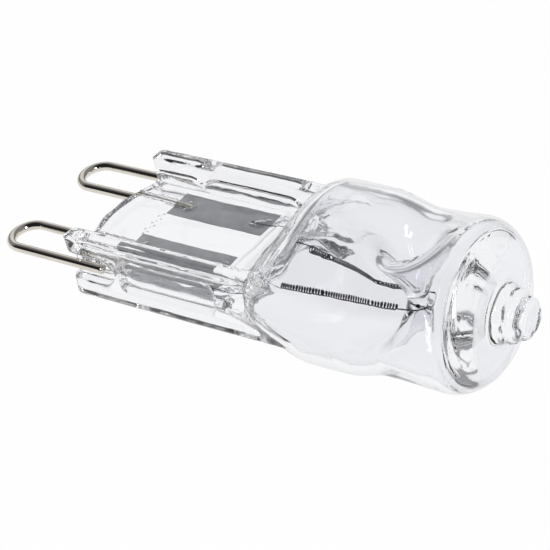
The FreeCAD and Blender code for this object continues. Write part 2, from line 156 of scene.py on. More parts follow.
def side_grooves(x, wide, z):
    """What is cut from the pinch's sides: a groove for a loop's end and one for a clip."""
    leg_floor = LOOP_MIDDLE + LOOP_BEND - WIRE_RADIUS - GROOVE_CLEARANCE
    leg_slot = np.hypot(np.maximum(x - LEG_GROOVE_END, 0), z) - LEG_GROOVE_HALF
    clip_slot = np.hypot(x - np.clip(x, CLIP_GROOVE_START, CLIP_GROOVE_END), z) - CLIP_GROOVE_HALF
    clip_floor = PINCH_HALF_WIDTH - CLIP_GROOVE_DEPTH
    return np.minimum(np.maximum(leg_slot, leg_floor - wide), np.maximum(clip_slot, clip_floor - wide))


clip_length = CLIP_GROOVE_END - CLIP_GROOVE_START + 2 * CLIP_GROOVE_HALF
print(f"clip grooves {clip_length:.1f} mm long and {CLIP_GROOVE_DEPTH} mm deep")

# %% [markdown]
# ### The pinch
#
# The flat end is an H in section: a rail along each side and a thin web between them, with a rounded nose.
# A box with cuts and bevels would do for metal; here the smooth joints matter more than the flat faces.

# %% Pinch
RAIL_HALF_HEIGHT, RAIL_HALF_WIDTH = 2.8, 0.75
RAIL_EDGE, RAIL_END, RAIL_FOOT = 0.35, 1.0, 1.0
WEB_HALF, WEB_EDGE = 1.05, 0.7
WEB_NOSE, WEB_SETBACK = -0.45, 1.5
GROOVE_LIP = 0.35


def pinch_distance(x, y, z):
    """The pinch, with its rails, web and side grooves."""
    wide, tall = np.abs(y), np.abs(z)
    rail_middle = PINCH_HALF_WIDTH - RAIL_HALF_WIDTH
    rail = rounded(np.abs(wide - rail_middle) - RAIL_HALF_WIDTH, tall - RAIL_HALF_HEIGHT, RAIL_EDGE)
    rail = smooth_max(rail, -x, RAIL_END)
    nose = WEB_NOSE + (WEB_SETBACK - WEB_NOSE) * (wide / rail_middle) ** 2
    web = smooth_max(tall - WEB_HALF, nose - x, WEB_EDGE)
    web = np.maximum(web, wide - rail_middle)
    return smooth_max(smooth_min(rail, web, RAIL_FOOT), -side_grooves(x, wide, z), GROOVE_LIP)


print(f"pinch {2 * PINCH_HALF_WIDTH} mm wide, {2 * RAIL_HALF_HEIGHT} mm over its rails")

# %% [markdown]
# ### The dents
#
# Near its tip the soft tube was pressed in from above and below, until the two walls almost met inside. The
# dents could be cut out with two cones, but a pressed wall has no edge. So we bend space instead: where a dent
# is deep, a point near the middle counts as one far out, and the tube's own formula then draws the dented
# wall. The dents face each other a little below the middle, as in the photograph.

# %% Dents
DENT_PLACE = 27.7
DENT_DEPTH, DENT_DROP = 6.1, 0.5
DENT_SPREAD, DENT_TAPER, DENT_TIP = 1.8, 1.25, 0.25


def dent_share(x, y):
    """How much of a dent's full depth is left at a place, and how steeply it changes."""
    away = np.sqrt((x - DENT_PLACE) ** 2 + y ** 2 + DENT_TIP ** 2) / DENT_SPREAD
    share = np.exp(-away ** DENT_TAPER)
    return share, share * DENT_TAPER * away ** (DENT_TAPER - 1) / DENT_SPREAD


deepest = DENT_DEPTH * float(dent_share(DENT_PLACE, 0.0)[0])
print(f"the dents are {deepest:.2f} mm deep on average, {DENT_PLACE} mm from the pinch end")

# %% [markdown]
# ### The tube
#
# Behind the pinch the quartz swells into a round tube in half a cosine wave, and the tube narrows a little
# towards its closed end. A loft between sections would do this too, but the formula also says how steep the
# wall is, and dividing by that keeps the wall's thickness even.

# %% Tube
SHOULDER = (14.5, 21.0)
SHOULDER_ROOT = 1.3
FULL_RADIUS, END_RADIUS = 7.0, 6.5
TAPER = (24.0, 27.6)
TINY = 1e-6


def tube_distance(x, y, z):
    """Distance to the dented tube's side."""
    dented, dent_slope = dent_share(x, y)
    z = np.abs(z + DENT_DROP * dented) + DENT_DEPTH * dented
    start, end = SHOULDER
    swell = (1 - np.cos(np.pi * np.clip((x - start) / (end - start), 0, 1))) / 2
    radius = FULL_RADIUS - (FULL_RADIUS - END_RADIUS) * ease(*TAPER, x)
    half_width = PINCH_HALF_WIDTH + (radius - PINCH_HALF_WIDTH) * swell
    half_height = SHOULDER_ROOT + (radius - SHOULDER_ROOT) * swell
    spread = np.hypot(y, z)
    share = np.hypot(y / half_width, z / half_height)
    steep = np.pi / 2 * (FULL_RADIUS - SHOULDER_ROOT) / (end - start)
    shoulder_slope = 2 * steep * np.sqrt(np.maximum(swell * (1 - swell), 0))
    slope = np.hypot(shoulder_slope, DENT_DEPTH * dent_slope) * z / np.maximum(spread, TINY)
    return spread * (1 - 1 / np.maximum(share, TINY)) / np.hypot(1, slope)


print(f"tube {2 * FULL_RADIUS} mm across at the shoulder and {2 * END_RADIUS} mm at its end")

# %% [markdown]
# ### The pump stub
#
# The lamp was pumped out and filled through a thin tube at its tip, which was then melted off. What is left
# is a collar and a knob with an uneven skin. Two turned profiles joined by a smooth minimum make the shape,
# and crossed waves make the skin. In such a wave, the factors are radians to the millimetre.

# %% Pump stub
COLLAR_RADIUS, COLLAR_END, COLLAR_EDGE = 2.05, 36.0, 0.35
TIP_RADIUS, TIP_END, TIP_EDGE = 1.6, 36.95, 0.5
STUB_START, STUB_FILLET = 30.0, 0.5
MELTED, MELTED_HEIGHT = (34.7, 35.3), 0.09


def stub_distance(x, y, z):
    """The pump stub: a collar and a melted tip."""
    spread = np.hypot(y, z)
    collar = rounded(spread - COLLAR_RADIUS, x - COLLAR_END, COLLAR_EDGE)
    tip = rounded(spread - TIP_RADIUS, x - TIP_END, TIP_EDGE)
    return np.maximum(smooth_min(collar, tip, STUB_FILLET), STUB_START - x)


def melted(x, y, z):
    """The uneven surface of the melted stub, from 0 to 1."""
    waves = np.sin(5.3 * x + 4.1 * y) * np.sin(4.7 * z - 2.9 * y + 1.0)
    return (0.5 + 0.5 * waves) * ease(*MELTED, x)


print(f"stub {2 * COLLAR_RADIUS} mm across, its tip {TIP_END} mm from the pinch end")

# %% [markdown]
# ### Ripples and folds
#
# The dies that pinch the hot quartz leave it slightly wavy, which is why its edges look so lively, and the
# shoulder keeps fine folds that fan out from its near corner. A bump in the material would only change the
# shading. These waves are real shapes a few hundredths of a millimetre high, so they bend the light as well.
# Crossed sine waves give them without any random numbers.

# %% Ripples and folds
RIPPLE_HEIGHT = 0.084
LONG_SHARE, CROSS_SHARE, FINE_SHARE = 0.21, 0.145, 0.145
FOLD_ROOT, FOLD_COUNT, FOLD_HEIGHT = (14.4, -9.0), 34.0, 0.05
FOLD_START, FOLD_END = (15.0, 15.8), (18.0, 20.5)


def ripple(x, y, z):
    """The waviness that the pinching dies leave, from 0 to 1."""
    long_wave = np.sin(0.9 * x + 1.7 * np.sin(0.8 * y + 0.5) + 0.6 * z)
    cross_wave = np.sin(2.3 * y - 0.7 * x + 1.3 * np.sin(1.1 * z))
    fine_wave = np.sin(3.1 * x + 2.7 * y + 1.9 * z) * np.sin(2.2 * z - 1.3 * x)
    return 0.5 + LONG_SHARE * long_wave + CROSS_SHARE * cross_wave + FINE_SHARE * fine_wave


def folds(x, y):
    """Fine folds that fan out over the shoulder, from 0 to 1."""
    fan_x, fan_y = FOLD_ROOT
    across_fold = 0.5 + 0.5 * np.sin(FOLD_COUNT * (x - fan_x) / np.maximum(y - fan_y, 1))
    return across_fold * ease(*FOLD_START, x) * (1 - ease(*FOLD_END, x))


print(f"ripples up to {RIPPLE_HEIGHT} mm, folds up to {FOLD_HEIGHT} mm high")

# %% [markdown]
# ### The outside
#
# Pinch, tube and stub now join into one body. The fillet between pinch and tube fades out along the shoulder,
# because it would make the tube too wide there. The ripples calm down on the tube and on the rails' tops, and
# all the waves only take quartz away, so the body never grows past its solid.

# %% Outside
BULB_END, BULB_END_ROUND = 34.6, 2.8
PINCH_FILLET, FADED_FILLET, FILLET_FADE = 1.0, 0.1, (16, 19)
STUB_ROOT = 0.8
CALM, CALM_TOP = 0.75, (1.9, 2.6)


def outer_distance(x, y, z):
    """The quartz from outside, as if it were solid."""
    bulb = rounded(tube_distance(x, y, z), x - BULB_END, BULB_END_ROUND)
    bulb = np.maximum(bulb, SHOULDER[0] - x)
    pinch = np.maximum(pinch_distance(x, y, z), x - SHOULDER[1])
    fillet = PINCH_FILLET - (PINCH_FILLET - FADED_FILLET) * ease(*FILLET_FADE, x)
    body = smooth_min(pinch, bulb, fillet)
    body = smooth_min(body, stub_distance(x, y, z), STUB_ROOT)
    calm = CALM * np.maximum(ease(*SHOULDER, x), ease(*CALM_TOP, np.abs(z)))
    body += RIPPLE_HEIGHT * ripple(x, y, z) * (1 - calm)
    return body + FOLD_HEIGHT * folds(x, y) + MELTED_HEIGHT * melted(x, y, z)


places = np.array([10.0, 25.0, 40.0])
depths = outer_distance(places, 0 * places, 0 * places)
print("distance on the axis at", places, "mm:", np.round(depths, 2))

# %% [markdown]
# ### The hollow
#
# The bulb is hollow, with a thin side wall and a thick end. Its inner corner at the end was drawn while the
# quartz was soft and kept a few shallow rings, which show as a dark bow in the glass. A post stays between
# the dents, to carry the filament. A Solidify modifier would give the same wall everywhere; a second distance
# lets each place have its own.

# %% Hollow
WALL, END_WALL, DENT_WALL = 0.7, 1.9, 0.75
HOLLOW_START, HOLLOW_BOW, HOLLOW_START_ROUND = 15.4, 0.04, 1.0
HOLLOW_END_ROUND = 0.8
RING_START, RING_BAND = (31.6, 32.2), (3.5, 4.3)
RING_COUNT, RING_HEIGHT = 7.0, 0.03
POST_RADIUS, POST_FILLET = 0.6, 0.5


def hollow_distance(x, y, z):
    """The hollow of the bulb, as if it were a body."""
    wall = WALL - (WALL - DENT_WALL) * dent_share(x, y)[0]
    hollow = rounded(tube_distance(x, y, z) + wall, x - (BULB_END - END_WALL), HOLLOW_END_ROUND)
    spread = np.hypot(y, z)
    rings = np.sin(RING_COUNT * (x - spread)) * ease(*RING_START, x) * ease(*RING_BAND, spread)
    hollow += RING_HEIGHT * rings
    hollow = smooth_max(hollow, HOLLOW_START + HOLLOW_BOW * y * y - x, HOLLOW_START_ROUND)
    post = np.hypot(x - DENT_PLACE, y) - POST_RADIUS
    return smooth_max(hollow, -post, POST_FILLET)


def quartz_distance(points):
    """Negative in the quartz, positive in air."""
    x, y, z = points.T
    return np.maximum(outer_distance(x, y, z), -hollow_distance(x, y, z))


print(f"wall {WALL} mm at the side, {END_WALL} mm at the end, {DENT_WALL} mm in the dents")

# %% [markdown]
# ### From the formula to a mesh
#
# *Surface nets* turn a distance into quads. Space is divided into small cells; each cell that the surface
# crosses gets one point, and each grid edge that it crosses gets one quad between the four cells around it.
# Blender's voxel remesh would work from a finished mesh instead, and would round away the thin walls.

# %% Grid
CELL = 0.2
LOW_CORNER = np.array([-1.4, -7.6, -7.6])
CELLS = (196, 76, 76)
axes = [LOW_CORNER[k] + CELL * np.arange(CELLS[k] + 1) for k in range(3)]
grid = np.stack(np.meshgrid(*axes, indexing="ij"), -1)
field = quartz_distance(grid.reshape(-1, 3)).reshape(grid.shape[:3])
inside = field < 0
print(f"{inside.sum()} of {inside.size} grid points lie in the quartz")

# %% [markdown]
# A cell is crossed when some of its eight corners lie in the quartz and some in air. Counting the corners
# finds these cells without a loop over the grid. Their numbers become the numbers of the mesh's points.

# %% Crossed cells
CORNERS = [(i, j, k) for i in (0, 1) for j in (0, 1) for k in (0, 1)]
nx, ny, nz = CELLS
filled = sum(inside[i:nx + i, j:ny + j, k:nz + k].astype(int) for i, j, k in CORNERS)
crossed = (filled > 0) & (filled < len(CORNERS))
number = np.full(CELLS, -1)
number[crossed] = np.arange(crossed.sum())
print(f"the surface crosses {crossed.sum()} of {crossed.size} cells")

# %% [markdown]
# A crossed cell's point lies in the middle of the places where the surface cuts the cell's edges. The two
# ends of such an edge have distances of opposite sign, and a straight line between them says where the cut
# is. The cell's own middle would be simpler, but it would leave steps.

# %% Net points
EDGES = [(a, b) for a in CORNERS for b in CORNERS
         if sum(b) - sum(a) == 1 and sum(abs(np.subtract(a, b))) == 1]


def net_points(field, cells):
    """One point in each crossed cell: the middle of where the surface cuts the cell's edges."""
    total, weight = np.zeros((len(cells), 3)), np.zeros(len(cells))
    for start, end in EDGES:
        first = field[tuple((cells + start).T)]
        second = field[tuple((cells + end).T)]
        cut = (first < 0) != (second < 0)
        share = np.where(cut, first / np.where(cut, first - second, 1), 0)
        place = np.array(start) + share[:, None] * (np.array(end) - np.array(start))
        total += place * cut[:, None]
        weight += cut
    return LOW_CORNER + CELL * (cells + total / weight[:, None])


quartz_points = net_points(field, np.argwhere(crossed))
print(f"quartz net: {len(quartz_points)} points")

# %% [markdown]
# Where a grid edge leaves the quartz, the four cells round it share a quad. Where an edge enters the quartz,
# the quad's corners are taken in the other order. So all quads face out of the quartz, and the renderer can
# tell the glass from the air. Recalculating the normals later would turn the hollow's wall the wrong way.

# %% Net quads
def net_faces(inside, number):
    """A quad for each grid edge that the surface crosses, facing out of the body."""
    faces = []
    for axis in range(3):
        ahead = np.roll((1, 0, 0), axis)
        side, other = np.roll((0, 1, 0), axis), np.roll((0, 0, 1), axis)
        ends = np.array(CELLS) + 1 - ahead
        here = inside[:ends[0], :ends[1], :ends[2]]
        there = inside[ahead[0]:, ahead[1]:, ahead[2]:]
        for spots, flip in ((np.argwhere(here & ~there), False), (np.argwhere(~here & there), True)):
            ring = [spots - side - other, spots - other, spots, spots - side]
            quad = np.stack([number[tuple(corner.T)] for corner in ring], 1)
            faces.append(quad[:, ::-1] if flip else quad)
    return np.concatenate(faces)


quartz_faces = net_faces(inside, number)
print(f"quartz net: {len(quartz_faces)} quads")

# %% [markdown]
# ### Onto the exact surface
#
# The net's points lie only near the surface, and glass would show that as facets. So each point is moved to
# the middle of the faces round it, which evens the quads, and then slid along the formula's own gradient onto
# the exact surface. A Smooth modifier alone would shrink the thin walls; the slide puts every point back.

# %% Evening
def evened(points, faces):
    """Each point moved to the middle of the faces round it."""
    middles = points[faces].mean(1)
    total, count = np.zeros_like(points), np.zeros(len(points))
    for corner in range(faces.shape[1]):
        np.add.at(total, faces[:, corner], middles)
        np.add.at(count, faces[:, corner], 1)
    return total / count[:, None]


moves = np.linalg.norm(evened(quartz_points, quartz_faces) - quartz_points, axis=1)
print(f"evening once moves a point by {moves.mean():.3f} mm on average")

# %% [markdown]
# The gradient points the way in which the distance grows fastest, and we find it by asking the formula a
# little to each side. A step against it, as long as the distance, lands on the surface. Four rounds of evening
# and sliding are enough. A Shrinkwrap modifier would need a finished surface to aim at.

# %% Slide
NUDGE = 0.02
SLIDES = 4
LEAST_STEEPNESS = 0.25


def slide_on(distance, points):
    """Move points onto the surface along the gradient."""
    slope = np.empty_like(points)
    for axis in range(3):
        step = np.zeros(3)
        step[axis] = NUDGE
        slope[:, axis] = (distance(points + step) - distance(points - step)) / (2 * NUDGE)
    steepness = np.maximum((slope * slope).sum(1), LEAST_STEEPNESS)
    return points - np.clip(distance(points) / steepness, -CELL, CELL)[:, None] * slope


for _ in range(SLIDES):
    quartz_points = slide_on(quartz_distance, evened(quartz_points, quartz_faces))
quartz_points = slide_on(quartz_distance, quartz_points)
misses = np.abs(quartz_distance(quartz_points))
print(f"points miss the surface by {misses.mean():.1e} mm on average, {misses.max():.1e} mm at most")

# %% [markdown]
# ## Wires as swept tubes
#
# The contact loops and the filament are wires. A bevelled curve would do, but here the radius changes along
# the wire and the coil is very fine. A small sweep carries a ring of points along a path. The ring is turned
# with the path by the least turn at each step, so it never twists, whatever the path does.

# %% Tube sweep
FIRST_SIDE = (0.3, 0.2, 0.9)


def swept_tube(path, radii, sides):
    """Points and faces of a closed tube along a path, with a radius at each of its points."""
    path = np.asarray(path, float)
    radii = np.broadcast_to(radii, len(path))
    heading = np.gradient(path, axis=0)
    heading /= np.linalg.norm(heading, axis=1)[:, None]
    side = np.cross(heading[0], FIRST_SIDE)
    angles = np.arange(sides) * 2 * math.pi / sides
    points = []
    for spot, forward, radius in zip(path, heading, radii):
        side = side - forward * side.dot(forward)
        side /= np.linalg.norm(side)
        other = np.cross(forward, side)
        ring = np.outer(np.cos(angles), side) + np.outer(np.sin(angles), other)
        points.append(spot + radius * ring)
    rings = np.arange(len(path) * sides).reshape(len(path), sides)
    faces = []
    for first, second in zip(rings, rings[1:]):
        faces += zip(first, np.roll(first, -1), np.roll(second, -1), second)
    faces += [rings[0][::-1], rings[-1]]
    return np.concatenate(points), faces


sample_points, sample_faces = swept_tube([(0, 0, 0), (1, 0, 0)], 1.0, 6)
print(f"a straight tube with 6 sides has {len(sample_points)} points and {len(sample_faces)} faces")

# %% [markdown]
# ## Bores and bubbles in the pinch
#
# Hot quartz never closes quite tightly round a wire. A thin bore stays open along each lead and shines like
# silver, because the light is reflected at its wall, and small flat bubbles stay at the welds and in a row
# between the foils' front ends. In a mesh, a hollow in glass is a closed surface that faces inwards, so each
# one is a short sweep turned inside out, and it becomes part of the quartz body.

# %% Bubble
HOLLOW_SIDES = 14
BUBBLE_LEVEL = -0.24
ROUND_END = np.sin(np.linspace(-1, 1, 13) * 1.5)


def bubble(x, y, long, wide, flat):
    """A flat bubble above the foil's level: points and faces that look inwards."""
    path = np.stack([x + long * ROUND_END, np.full(len(ROUND_END), y), np.zeros(len(ROUND_END))], 1)
    points, faces = swept_tube(path, wide * np.sqrt(1 - ROUND_END ** 2), HOLLOW_SIDES)
    points[:, 2] = BUBBLE_LEVEL + points[:, 2] * flat
    return points, [face[::-1] for face in faces]


print(f"each bubble has {len(ROUND_END)} rings of {HOLLOW_SIDES} points")

# %% [markdown]
# A bore is the same sweep, long and slightly wavy along its lead, and it narrows to a point at both ends. A
# plain cylinder would be a hollow too, but its even wall would mirror like a drilled hole.

# %% Bore
LEAD_LINE = LOOP_MIDDLE - LOOP_BEND
BORE_START, BORE_END, BORE_RADIUS, BORE_STEPS = 0.4, 4.3, 0.36, 60
BORE_WOBBLE, BORE_POINT = 0.02, 0.02


def bore(way):
    """The thin, slightly wavy hollow along a lead."""
    x = np.linspace(BORE_START, BORE_END, BORE_STEPS)
    near_end = np.minimum(x - BORE_START, BORE_END - x)
    radii = BORE_RADIUS + BORE_WOBBLE * np.sin(7 * x)
    radii *= np.sqrt(np.clip(near_end / BORE_RADIUS + BORE_POINT, 0, 1))
    y = way * LEAD_LINE + BORE_WOBBLE * np.sin(3 * x)
    points, faces = swept_tube(np.stack([x, y, 0 * x], 1), radii, 2 * HOLLOW_SIDES)
    return points, [face[::-1] for face in faces]


print(f"each bore is {BORE_END - BORE_START:.1f} mm long, on a line {LEAD_LINE:.2f} mm from the middle")

# %% [markdown]
# Each weld has its own few bubbles, listed as place along the lamp, place beside the lead, half length, half
# width and flatness. The row between the foils is worked out with sine waves, so no two are alike. Scattering
# them with random numbers would be quicker to write, but these lie where the photograph shows them.

# %% Quartz body
WELD_BUBBLES = ((4.95, 0.45, 0.22, 0.2, 0.3), (5.25, -0.42, 0.34, 0.24, 0.3), (12.0, 0.0, 0.5, 0.42, 0.2),
                (12.5, 0.5, 0.3, 0.2, 0.3), (11.4, -0.35, 0.24, 0.16, 0.4))
ROW_COUNT, ROW_START, ROW_STEP, ROW_PLACE, ROW_FLAT = 11, -1.5, 0.3, 3.9, 0.8
hollows = []
for way in (-1, 1):
    hollows.append(bore(way))
    hollows += [bubble(x, way * LEAD_LINE + beside, *size) for x, beside, *size in WELD_BUBBLES]
for step in range(ROW_COUNT):
    x = ROW_PLACE + 0.25 * math.sin(2.1 * step)
    long, wide = 0.1 + 0.05 * math.sin(1.7 * step), 0.11 + 0.04 * math.cos(2.9 * step)
    hollows.append(bubble(x, ROW_START + ROW_STEP * step, long, wide, ROW_FLAT))
body_points, body_faces = [quartz_points], list(quartz_faces)
count = len(quartz_points)
for points, faces in hollows:
    body_points.append(points)
    body_faces += [np.asarray(face) + count for face in faces]
    count += len(points)
print(f"{len(hollows)} hollows in the pinch")
envelope = add_piece("quartz_body", np.concatenate(body_points), body_faces, "quartz", "quartz_envelope")

# %% [markdown]
# ## The contact loops
#
# Each contact is one piece of drawn, plated wire: a free leg that lies in the side groove, a half ring, and
# an inner leg that necks down to a thin lead in the pinch and is pressed onto its foil, where it is welded.
# A torus and two cylinders would leave seams in the ring; one sweep has none.

# %% Loop path
LOOP_REACH = 7.2
FREE_LEG, CHAMFER = 3.4, 0.1
LEAD_DEPTH = 5.7
FREE_STEPS, TURN_STEPS, INNER_STEPS = 14, 41, 30


def loop_path(way):
    """The wire's middle line, from its free end round to the weld."""
    bend_line = LOOP_BEND + WIRE_RADIUS - LOOP_REACH
    free = [(FREE_LEG - back, LOOP_BEND) for back in (0, CHAMFER / 2, CHAMFER, 3 * CHAMFER)]
    free += [(x, LOOP_BEND) for x in np.linspace(FREE_LEG - 6 * CHAMFER, bend_line, FREE_STEPS)]
    turn = np.linspace(0, math.pi, TURN_STEPS)[1:-1]
    bend = [(bend_line - LOOP_BEND * math.sin(angle), LOOP_BEND * math.cos(angle)) for angle in turn]
    inner = [(x, -LOOP_BEND) for x in np.linspace(bend_line, LEAD_DEPTH, INNER_STEPS)]
    flat = np.array(free + bend + inner)
    return np.stack([flat[:, 0], way * (LOOP_MIDDLE + flat[:, 1]), np.zeros(len(flat))], 1)


loop_length = np.linalg.norm(np.diff(loop_path(1), axis=0), axis=1).sum()
print(f"each contact is {loop_length:.1f} mm of wire")

# %% [markdown]
# The wire's radius goes with its path: a chamfer at the free end, full thickness round the loop, and a neck on
# the lead. The lead's end is then lowered onto the foil and spread, as the weld's press left it. A Lattice
# modifier could do that, but moving the points by a formula keeps the place of the weld exact.

# %% Loops
LOOP_SIDES = 40
NECK_START, NECK_END, NECK_RADIUS = 0.3, 1.2, 0.16
PRESSED_LENGTH, WELD_SPREAD = 1.6, 0.9
loops = []
for side_name, way in (("near", -1), ("far", 1)):
    path = loop_path(way)
    radii = np.full(len(path), WIRE_RADIUS)
    radii[0], radii[1] = WIRE_RADIUS - CHAMFER, WIRE_RADIUS - CHAMFER / 3
    on_lead = np.abs(path[:, 1]) < LOOP_MIDDLE
    radii -= on_lead * (WIRE_RADIUS - NECK_RADIUS) * ease(NECK_START, NECK_END, path[:, 0])
    points, faces = swept_tube(path, radii, LOOP_SIDES)
    pressed = ease(LEAD_DEPTH - PRESSED_LENGTH, LEAD_DEPTH, points[:, 0])
    pressed *= np.abs(points[:, 1]) < LOOP_MIDDLE
    points[:, 2] -= pressed * (WIRE_RADIUS - NECK_RADIUS)
    points[:, 1] += pressed * (points[:, 1] - way * LEAD_LINE) * WELD_SPREAD
    name, solid = f"{side_name}_contact_loop", f"{side_name}_wire_loop"
    loops.append(add_piece(name, points, faces, "contact_wire", solid))

# %% [markdown]
# ## The sealing foils
#
# Quartz hardly grows when it is heated, and no thick wire would stay tight in it. So the current passes the
# pinch through foil a few hundredths of a millimetre thick, feathered at its edges. A flat plane would do from
# far away. Here it is a blade with a fine grid, so that the weld marks and its slight buckles are real shapes.

# %% Foil level
FOIL_HALF, WELD_SINK = 0.02, 0.03
FOIL_TOP = WELD_SINK - WIRE_RADIUS
BUCKLE_HEIGHT = 0.012
WELD_MARKS = ((5.1, 0.55), (12.0, 0.45))
MARK_RIM, MARK_RIM_WIDTH = 0.06, 0.25
MARK_PIT, MARK_PIT_WIDTH = 0.05, 0.45


def foil_level(x, y, way):
    """The height of the foil's middle plane, with buckles and weld marks."""
    buckle = BUCKLE_HEIGHT * np.sin(0.9 * x + way) * np.sin(1.4 * y + 0.6 * x)
    for weld, width in WELD_MARKS:
        away = np.hypot(x - weld, y) / width
        buckle += MARK_RIM * np.exp(-((away - 1) / MARK_RIM_WIDTH) ** 2)
        buckle -= MARK_PIT * np.exp(-(away / MARK_PIT_WIDTH) ** 2)
    return FOIL_TOP - FOIL_HALF + buckle


print(f"the foils' top lies {-FOIL_TOP:.3f} mm under the lamp's middle plane")

# %% [markdown]
# The blade's top and underside are the same grid, moved apart by a thickness that falls off towards the long
# sides, and a rim of quads closes it. A Solidify modifier would make the same thickness everywhere.

# %% Foils
FOIL_START, FOIL_LENGTH = 3.9, 9.1
FOIL_HALF_WIDTH, FOIL_FEATHER, FOIL_EDGE = 1.45, 0.5, 0.04
FOIL_STEPS = (110, 36)


def foil_mesh(way):
    """A feathered blade with weld marks: points and faces of its top, its underside and its rim."""
    long_steps, wide_steps = FOIL_STEPS
    x, y = np.meshgrid(FOIL_START + np.linspace(0, FOIL_LENGTH, long_steps),
                       np.linspace(-FOIL_HALF_WIDTH, FOIL_HALF_WIDTH, wide_steps), indexing="ij")
    half = FOIL_HALF * np.clip((FOIL_HALF_WIDTH - np.abs(y)) / FOIL_FEATHER, FOIL_EDGE, 1)
    level = foil_level(x, y, way)
    sheets = [np.stack([x, y + way * LEAD_LINE, level + sign * half], -1).reshape(-1, 3) for sign in (1, -1)]
    index = np.arange(long_steps * wide_steps).reshape(long_steps, wide_steps)
    top = np.stack([index[:-1, :-1], index[1:, :-1], index[1:, 1:], index[:-1, 1:]], -1).reshape(-1, 4)
    faces = [*top, *(top[:, ::-1] + index.size)]
    rim = np.concatenate([index[:, 0], index[-1, 1:], index[-2::-1, -1], index[0, -2:0:-1]])
    faces += [(b, a, a + index.size, b + index.size) for a, b in zip(rim, np.roll(rim, -1))]
    return np.concatenate(sheets), faces


foils = []
for side_name, way in (("near", -1), ("far", 1)):
    foils.append(add_piece(f"{side_name}_seal_foil", *foil_mesh(way), "sealing_foil", f"{side_name}_foil"))

# %% [markdown]
# ## The filament
#
# One tungsten wire runs from foil to foil: a straight tail, a coil leg, a plain bend round the post, the
# second coil leg and the second tail. A Screw modifier makes one coil well, but not a wire that goes on. Here
# a single sweep follows one path, with the turns of each leg worked out by a formula.

# %% Coil legs
COIL_RADIUS, COIL_WIRE = 0.2, 0.05
COIL_TURNS, STEPS_PER_TURN = 44, 16
COIL_START, COIL_START_SPREAD, COIL_START_DROP = 17.0, 2.35, 0.5
COIL_END, COIL_END_SPREAD, COIL_END_DROP = 26.7, 1.2, 0.75


def coil_leg(way):
    """The points of one coil leg, from its tail to the bend."""
    start = np.array([COIL_START, way * COIL_START_SPREAD, -COIL_START_DROP])
    end = np.array([COIL_END, way * COIL_END_SPREAD, -COIL_END_DROP])
    heading = (end - start) / np.linalg.norm(end - start)
    outward = np.cross((0, 0, way), heading)
    rising = np.cross(heading, outward)
    share = np.linspace(0, 1, COIL_TURNS * STEPS_PER_TURN + 1)[:, None]
    angle = share * COIL_TURNS * 2 * math.pi
    return start + share * (end - start) + COIL_RADIUS * (np.cos(angle) * outward + np.sin(angle) * rising)


near_leg, far_leg = coil_leg(-1), coil_leg(1)
print(f"two coil legs of {COIL_TURNS} turns, {len(near_leg)} points each")

# %% [markdown]
# The tails lie on the foils and climb to the first turn, and the plain bend goes round the post in half an
# ellipse. Set in order, these points are one path from foil to foil. Separate pieces would need joints that
# show at such a small size; one sweep makes one closed tube.

# %% Filament
TAIL_START, TAIL_BEND = 11.2, 13.4
TAIL_LEVEL = FOIL_TOP + COIL_WIRE
BEND_REACH, BEND_DROP = 29.2, 0.5
TAIL_STEPS, CLIMB_STEPS, BEND_STEPS = 8, 14, 33
WIRE_SIDES = 8


def tail(way, first):
    """The plain wire from the foil to the first turn."""
    line = way * LEAD_LINE
    on_foil = np.linspace((TAIL_START, line, TAIL_LEVEL), (TAIL_BEND, line, TAIL_LEVEL), TAIL_STEPS)
    climb = np.linspace(on_foil[-1], first, CLIMB_STEPS)[1:-1]
    return np.concatenate([on_foil, climb])


turn = np.linspace(-1, 1, BEND_STEPS)[1:-1, None]
bend_start, bend_half = near_leg[-1][0], abs(near_leg[-1][1])
bend_level = (BEND_DROP - COIL_END_DROP) * turn ** 2 - BEND_DROP
bend_along = bend_start + (BEND_REACH - bend_start) * np.sqrt(1 - turn ** 2)
bend = np.concatenate([bend_along, bend_half * turn, bend_level], 1)
wire_path = np.concatenate([tail(-1, near_leg[0]), near_leg, bend, far_leg[::-1], tail(1, far_leg[0])[::-1]])
wire = swept_tube(wire_path, COIL_WIRE, WIRE_SIDES)
filament = add_piece("tungsten_filament", *wire, "filament_wire", "filament")

# %% [markdown]
# ## Finishes written as sums
#
# A material is a graph of nodes, but most of what we want to say is arithmetic. `Shade` wraps an output of
# a node, so that `0.02 + 0.1 * grain` adds the Math nodes by itself. Everything else comes from one method,
# `Graph.node`, which sets a node's options first and then its inputs.

# %% Shader arithmetic
class Shade:
    """One output of a node, which can be added, multiplied and raised to a power in Python."""

    def __init__(self, graph, socket):
        self.graph = graph
        self.socket = socket

    def math(self, operation, other):
        return self.graph.node("ShaderNodeMath", {"operation": operation}, {0: self, 1: other})

    def __add__(self, other):
        return self.math("ADD", other)

    def __mul__(self, other):
        return self.math("MULTIPLY", other)

    def __pow__(self, power):
        return self.math("POWER", power)

    __radd__ = __add__
    __rmul__ = __mul__


# %% [markdown]
# A `Graph` holds the nodes of one material or of the room. Two kinds of node come up again and again, so they
# get a short method each: a blend of two colours, and a soft step.

